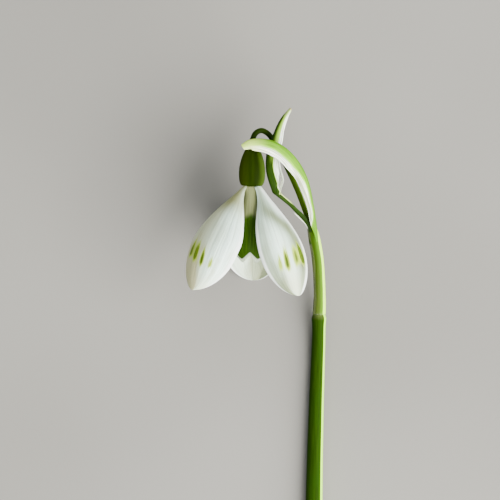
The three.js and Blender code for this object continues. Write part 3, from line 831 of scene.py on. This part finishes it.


# Millimetres and degrees. turn is a tepal's place round the bloom, and its claw starts ring out and
# drop down from where the tepals meet. out and back are its midline's angles to the bloom's axis,
# at the claw and at the tip, and bend is the power between them. claw and half are half widths, at
# the claw and where it is widest; rise and tip are the powers of the margin before and after that,
# and end is the tip's part of half. cup is the angle of its hollow at the claw, the middle and the
# tip, and twist its turn at the tip. trim takes in its left and right margins, seen from outside,
# round the shoulder's place and over its span. notch cuts the lobes, and wave shifts the ripple.
# Each tepal's shade function gives its painted light, greyish and cream painted shade and a painted
# highlight along its edges, and its grey is the colour of that greyish painted shade.
outer_common = {
    "ring": 1.95, "end": 0.0, "notch": 0.0, "drop": -0.2,
    "furrows": (0.0, -0.28, 0.28, -0.55, 0.55), "furrow_depth": 0.06,
    "white": ((0.78, 1.0, 0.87), (0.6, 0.76, 0.65)),
}
outer_tepals = {
    "outer_tepal_left": {
        **outer_common, "turn": -48.7, "length": 25.5, "out": 54, "back": 1.4, "bend": 1.45,
        "claw": 0.53, "half": 7.84, "widest": 0.55, "rise": 0.91, "tip": 2.42,
        "cup": (26, 58, 74), "twist": -9.1, "shoulder": (0.08, 0.206), "trim": (0.72, -0.42),
        "wave": 0.4, "cream": 0.6, "shade": left_painted_light, "shade_grey": (0.26, 0.27, 0.12),
        "green": ((0.05, 0.1, 0.0), (0.13, 0.21, 0.0)),
        # along from and to, across from and to, half width, strength
        "strokes": (
            (0.57, 0.745, -0.33, -0.38, 0.1, 0.9), (0.57, 0.785, -0.12, -0.1, 0.1, 1.0),
            (0.62, 0.81, 0.12, 0.17, 0.09, 0.9), (0.68, 0.81, 0.41, 0.45, 0.08, 0.55),
            (0.56, 0.76, -0.24, -0.24, 0.26, 0.34),
        ),
    },
    "outer_tepal_right": {
        **outer_common, "turn": 43.7, "length": 25.5, "out": 49.5, "back": -0.4, "bend": 1.6,
        "claw": 0.95, "half": 7.02, "widest": 0.6, "rise": 0.89, "tip": 2.08,
        "cup": (26, 60, 69), "twist": 7.9, "shoulder": (0.21, 0.185), "trim": (-0.24, -0.12),
        "wave": 2.1, "cream": 0.25, "shade": right_painted_light, "shade_grey": (0.17, 0.205, 0.105),
        "green": ((0.035, 0.065, 0.0), (0.09, 0.15, 0.0)),
        "strokes": (
            (0.54, 0.75, 0.25, 0.38, 0.12, 2.6), (0.54, 0.78, 0.03, 0.06, 0.14, 0.5),
            (0.56, 0.8, -0.24, -0.3, 0.12, 0.9), (0.62, 0.79, -0.45, -0.52, 0.1, 0.5),
            (0.55, 0.76, 0.15, 0.25, 0.36, 0.36),
        ),
    },
    "outer_tepal_back": {
        **outer_common, "turn": 177, "length": 27.5, "out": 64.5, "back": -4, "bend": 1.2,
        "claw": 0.85, "half": 8.3, "widest": 0.55, "rise": 0.7, "tip": 2.2,
        "cup": (26, 64, 60), "twist": 0, "shoulder": (0.24, 0.15), "trim": (0.0, 0.0),
        "wave": 3.7, "cream": 0.3, "shade": back_painted_light, "shade_grey": (0.24, 0.275, 0.16),
        "green": ((0.05, 0.1, 0.0), (0.13, 0.21, 0.0)),
        # The back tepal's whites are painted darker than the others', as painted shade.
        "white": ((0.66, 0.8, 0.68), (0.5, 0.6, 0.5)),
        "strokes": (
            (0.6, 0.77, -0.42, -0.46, 0.05, 0.6), (0.58, 0.78, -0.15, -0.17, 0.058, 0.9),
            (0.58, 0.78, 0.12, 0.14, 0.058, 0.9), (0.61, 0.77, 0.4, 0.44, 0.05, 0.6),
        ),
    },
}


def midline_angle(tepal, u):
    return np.radians(blend(tepal["out"], tepal["back"], u ** tepal["bend"]))


def half_width(tepal, u):
    rising = smooth(u, 0, tepal["widest"]) ** tepal["rise"]
    past = np.clip((u - tepal["widest"]) / (1 - tepal["widest"]), 0, 1)
    end = max(tepal["end"], LEAST_TIP / tepal["half"])
    falling = tepal["half"] * np.sqrt(1 - (1 - end**2) * past ** tepal["tip"])
    return np.where(u < tepal["widest"], blend(tepal["claw"], tepal["half"], rising), falling)


def end_at(tepal, v):
    """How far along it a tepal ends: it is cut back in the middle, and beyond its two lobes."""
    middle = np.maximum(0, 1 - np.abs(v) / LOBE_AT)
    shoulder = np.maximum(0, np.abs(v) - LOBE_AT) / (1 - LOBE_AT)
    return 1 - tepal["notch"] * (middle**1.3 + 1.6 * shoulder**2.4)


def tepal_at(tepal, u, v, lift):
    """Points of a tepal: u along it, v across it, and lift out from the middle of its tissue."""
    place, span = tepal["shoulder"]
    shoulder = np.exp(-(((u - place) / span) ** 2))
    v = v * (1 - shoulder * np.where(v < 0, tepal["trim"][0], tepal["trim"][1]))
    u = u * end_at(tepal, v)
    steps = np.linspace(0, 1, MIDLINE_STEPS + 1)
    angles = midline_angle(tepal, (steps[1:] + steps[:-1]) / 2)
    stride = tepal["length"] / MIDLINE_STEPS
    out = tepal["ring"] + np.append(0, np.sin(angles).cumsum()) * stride
    down = tepal["drop"] + np.append(0, np.cos(angles).cumsum()) * stride
    out, down = np.interp(u, steps, out), np.interp(u, steps, down)
    slope = midline_angle(tepal, u)
    claw, middle, tip = tepal["cup"]
    open_blade = blend(middle, tip, np.maximum(0, u - tepal["widest"]) / (1 - tepal["widest"]))
    cup = np.radians(blend(claw, open_blade, smooth(u, 0, CLAW_SPAN)))
    bow = half_width(tepal, u) / cup
    twist = math.radians(tepal["twist"]) * u
    across = (bow + lift) * np.sin(cup * v)
    above = (bow + lift) * np.cos(cup * v) - bow
    sideways = across * np.cos(twist) - above * np.sin(twist)
    raised = across * np.sin(twist) + above * np.cos(twist)
    radius = out + raised * np.cos(slope)
    turn = math.radians(tepal["turn"])
    return in_bloom(
        radius * math.sin(turn) + sideways * math.cos(turn),
        -down + raised * np.sin(slope),
        radius * math.cos(turn) - sideways * math.sin(turn),
    )


def tepal_faces(tepal):
    """The two faces of a tepal, with shallow furrows along it and a softly waved margin."""

    def face(u, v, outside):
        body = smooth(u, 0.05, 0.3) * (1 - smooth(u, 0.82, 1.0))
        grooves = sum(np.exp(-(((v - at) / FURROW_WIDTH) ** 2)) for at in tepal["furrows"])
        margin = smooth(np.abs(v), 0.78, 1.0) * smooth(u, 0.2, 0.5)
        wave = RIPPLE * margin * np.sin(17 * u + tepal["wave"] + np.sign(v))
        thick = TEPAL_THICK * (1 - MARGIN_THINNING * np.abs(v) ** 5)
        lift = wave - grooves * tepal["furrow_depth"] * body
        lift = lift + (thick / 2 if outside else -thick / 2)
        points = tepal_at(tepal, u, v, lift)
        points[..., 2] = np.maximum(points[..., 2], 0.0 if outside else PRESSED)
        return points

    return face


def stroke_mask(root, across, along, outside, strokes):
    """Brushed streaks: each stroke is soft at its sides, and ragged where it starts and ends."""
    masks = []
    sway = root.grain(across * 30, along * 5, 2.0) - 0.5
    bristle = root.grain(across * 26, along * 1.5, 6.0, detail=2.0) - 0.5
    for start, end, left, right, half, strength in strokes:
        walk = (along - start) / (end - start)
        line = walk * (right - left) + left
        width = (walk.rise(-0.1, 0.8) * 0.6 + 0.4) * half
        off = abs(across - line + sway * 0.05) / width
        ends = (walk + bristle * 1.1).rise(-0.05, 0.6) * (1 - (walk + bristle * 0.7).rise(0.76, 1.1))
        masks.append((1 - off.rise(0.0, 1.2)) * ends * (bristle * 1.2 + 1) * strength)
    return (sum(masks) * (outside * 0.75 + 0.25)).clamped()


def tepal_white(tepal):
    """Cool white with duller veins, then cream that is partly painted shade, greyish painted shade, a
    painted highlight along the edges, and the strokes.
    """

    def colour(root):
        across, along = root.organ()
        seed = float(tepal["turn"])
        veins = root.grain(across * 17, along * 1.6, seed)
        fine = root.grain(across * 90, along * 60, seed, detail=2.0)
        cloud = root.grain(across * 2.2, along * 4.0, seed + 5, detail=2.0)
        white = veins.rise(0.5, 0.72).tint(*tepal["white"])
        cream = cloud.rise(0.42, 0.68) * tepal["cream"] * (along.rise(0.35, 0.95) + 0.2)
        # More cream toward the left near the tip, as painted shade, and more again over the tip
        # itself.
        left = (0.35 - across).rise(-0.1, 0.5)
        cream = cream + along.rise(0.55, 0.95) * left * tepal["cream"] * 0.8
        cream = cream + along.rise(0.78, 1.0) * tepal["cream"] * 0.8
        # Painted light: greyish and cream painted shade, and a painted highlight along the edges.
        shade_grey, cream_shade, edge = tepal["shade"](across, along)
        white = (cream + cream_shade).clamped().tint(white, CREAM)
        white = (shade_grey * (cloud * 0.5 + 0.65)).clamped().tint(white, tepal["shade_grey"])
        # The painted highlight runs along both edges.
        edge = edge * 0.85 + (0 - across).rise(0.86, 0.93) * along.rise(0.12, 0.3) * 0.8
        white = edge.tint(white, RIM_HIGHLIGHT_WHITE)
        strokes = stroke_mask(root, across, along, root.outer_face(), tepal["strokes"])
        green = veins.rise(0.35, 0.65).tint(*tepal["green"])
        stained = strokes.rise(0.0, 0.45).tint(white, STROKE_HALO)
        stained = strokes.rise(0.3, 0.9).tint(stained, green)
        relief = (veins * 1.4 + fine * 0.3).bumps(0.6, 0.18)
        return coat(stained, fine.rise(0.2, 0.8) * 0.14 + 0.45, relief)

    return colour


for name, tepal in outer_tepals.items():
    outer_finish = finish(
        name.replace("_", " "), tepal_white(tepal), sheen_weight=0.04, sheen_roughness=0.3,
        **tissue(0.25, (1.0, 1.0, 0.9), 0.4, 0.16))
    blade(name + "_blade", name, outer_finish, tepal_faces(tepal),
          rows=120, columns=64, crowd=1.35)

# ---- Inner tepals ----------------------------------------------------------------------------
# Three short stiff tepals form a cup round the stamens. Each ends in two lobes with a notch
# between them, is dark green over most of its outer face, and is ribbed with green inside.
inner_common = {
    "ring": 1.2, "claw": 1.0, "drop": -0.15, "length": 15.85, "out": 27, "back": -5, "bend": 0.8,
    "half": 3.7, "widest": 0.78, "tip": 2.2, "end": 0.72, "rise": 0.62, "cup": (32, 58, 58),
    "twist": 0, "notch": 0.1, "shoulder": (0.24, 0.15), "trim": (0.0, 0.0), "wave": 1.0,
    "furrows": (-0.6, -0.3, 0.0, 0.3, 0.6), "furrow_depth": 0.05,
}
inner_tepals = {
    "inner_tepal_front": {
        **inner_common, "turn": 0, "ring": 1.7, "claw": 1.5, "rise": 0.95, "cup": (14, 58, 58)},
    "inner_tepal_left": {**inner_common, "turn": -121},
    "inner_tepal_right": {**inner_common, "turn": 119},
}


def inner_mark(root):
    across, along = root.organ()
    outside = root.outer_face()
    veins = root.grain(across * 12, along * 2.2)
    fine = root.grain(across * 70, along * 50, 4.0, detail=2.0)
    wobble = (veins - 0.5) * 0.05
    # The claw is painted a dark greyish olive as painted shade, where it lies between the outer
    # tepals.
    claw = (1 - along.rise(0.42, 0.6)).tint((0.6, 0.68, 0.54), (0.175, 0.195, 0.08))
    pale = (veins.rise(0.5, 0.7) * 0.6).tint(claw, (0.22, 0.26, 0.12))
    mark = (along + wobble).rise(0.36, 0.46) * (1 - (along + wobble * 0.4).rise(0.945, 0.965))
    mark = mark * (1 - abs(across).rise(0.86, 0.97))
    rib = ((across * 22.0).wave() + 0.2).rise(0.0, 0.6)
    stripes = rib * along.rise(0.2, 0.45) * (1 - along.rise(0.86, 0.94)) * 0.75
    shown = outside * mark + (1 - outside) * stripes
    green = veins.rise(0.35, 0.7).tint((0.02, 0.055, 0.0), (0.036, 0.088, 0.0))
    relief = (veins * 1.4 + fine * 0.4 + rib * 0.5).bumps(0.4, 0.08)
    return coat(shown.tint(pale, green), fine.rise(0.2, 0.8) * 0.15 + 0.45, relief)


inner_finish = finish("inner tepal", inner_mark, **tissue(0.08, (1.0, 1.0, 0.6), 0.3, 0.1))
for name, tepal in inner_tepals.items():
    blade(name + "_blade", name, inner_finish, tepal_faces(tepal),
          rows=90, columns=44, crowd=1.2)

# ---- Stamens ---------------------------------------------------------------------------------
# Six stamens stand in a ring inside the cup: short cream filaments, and long orange anthers that
# lean together into a cone and end in fine points.
STAMENS = 6
FILAMENT_RADIUS = 0.19
ANTHER_RADIUS = 0.44
ANTHER_POINT = 0.3  # of the anther's radius
STAMEN_LINE = (  # out from the bloom's axis, and down from the ovary
    (0.6, 0.05), (0.6, 0.6), (0.75, 1.3), (1.12, 2.6), (1.1, 4.4), (0.75, 6.4))


def stamen_radius(s, angle):
    size = blend(FILAMENT_RADIUS, ANTHER_RADIUS, smooth(s, 0.2, 0.42))
    return size * blend(1, ANTHER_POINT, smooth(s, 0.55, 1)) * (1 - 0.1 * np.cos(2 * angle) ** 4)


def stamen_colour(root):
    across, along = root.organ()
    fine = root.grain(across * 40, along * 40, 2.0)
    slit = 1 - abs((across * TURN).wave()).rise(0.0, 0.22)
    pollen = fine.rise(0.35, 0.7).tint((0.62, 0.25, 0.015), (0.85, 0.46, 0.05))
    pollen = (slit * 0.5).tint(pollen, (0.36, 0.13, 0.01))
    colour = along.rise(0.16, 0.3).tint((0.75, 0.78, 0.62), pollen)
    return coat(colour, fine.rise(0.2, 0.8) * 0.2 + 0.5, (fine - slit).bumps(0.5, 0.05))


stamens = Skin()
for turn in np.arange(STAMENS) / STAMENS * TURN:
    stamen_route = Route(*[
        (out * math.sin(turn), -down, out * math.cos(turn)) for out, down in STAMEN_LINE])
    points, across, along = stalk(stamen_route, stamen_radius, rings=60, sides=20)
    stamens.rod(in_bloom(*np.moveaxis(points, -1, 0)), across, along)
stamens.piece("stamens_six", "stamens", finish("stamens", stamen_colour))

# ---- Style -----------------------------------------------------------------------------------
# One slender cream-green column rises through the ring of stamens and ends in a blunt stigma just
# beyond the anthers.
STYLE_RADIUS = 0.21
style_route = Route((0, 0.0, 0), (0, -4.3, 0.02), (0, -8.55, 0.05))


def style_radius(s, angle):
    return STYLE_RADIUS * (1 - 0.25 * s) * (1 + 0.2 * smooth(s, 0.95, 0.99))


def style_colour(root):
    across, along = root.organ()
    fine = root.grain(across * 30, along * 30)
    green = fine.rise(0.3, 0.7).tint((0.66, 0.7, 0.42), (0.78, 0.8, 0.56))
    colour = along.rise(0.85, 1.0).tint(green, (0.5, 0.58, 0.2))
    return coat(colour, fine.rise(0.2, 0.8) * 0.2 + 0.4, fine.bumps(0.3, 0.03))


style = Skin()
points, across, along = stalk(style_route, style_radius, rings=60, sides=20)
style.rod(in_bloom(*np.moveaxis(points, -1, 0)), across, along)
style.piece("style_column", "style", finish("style", style_colour))
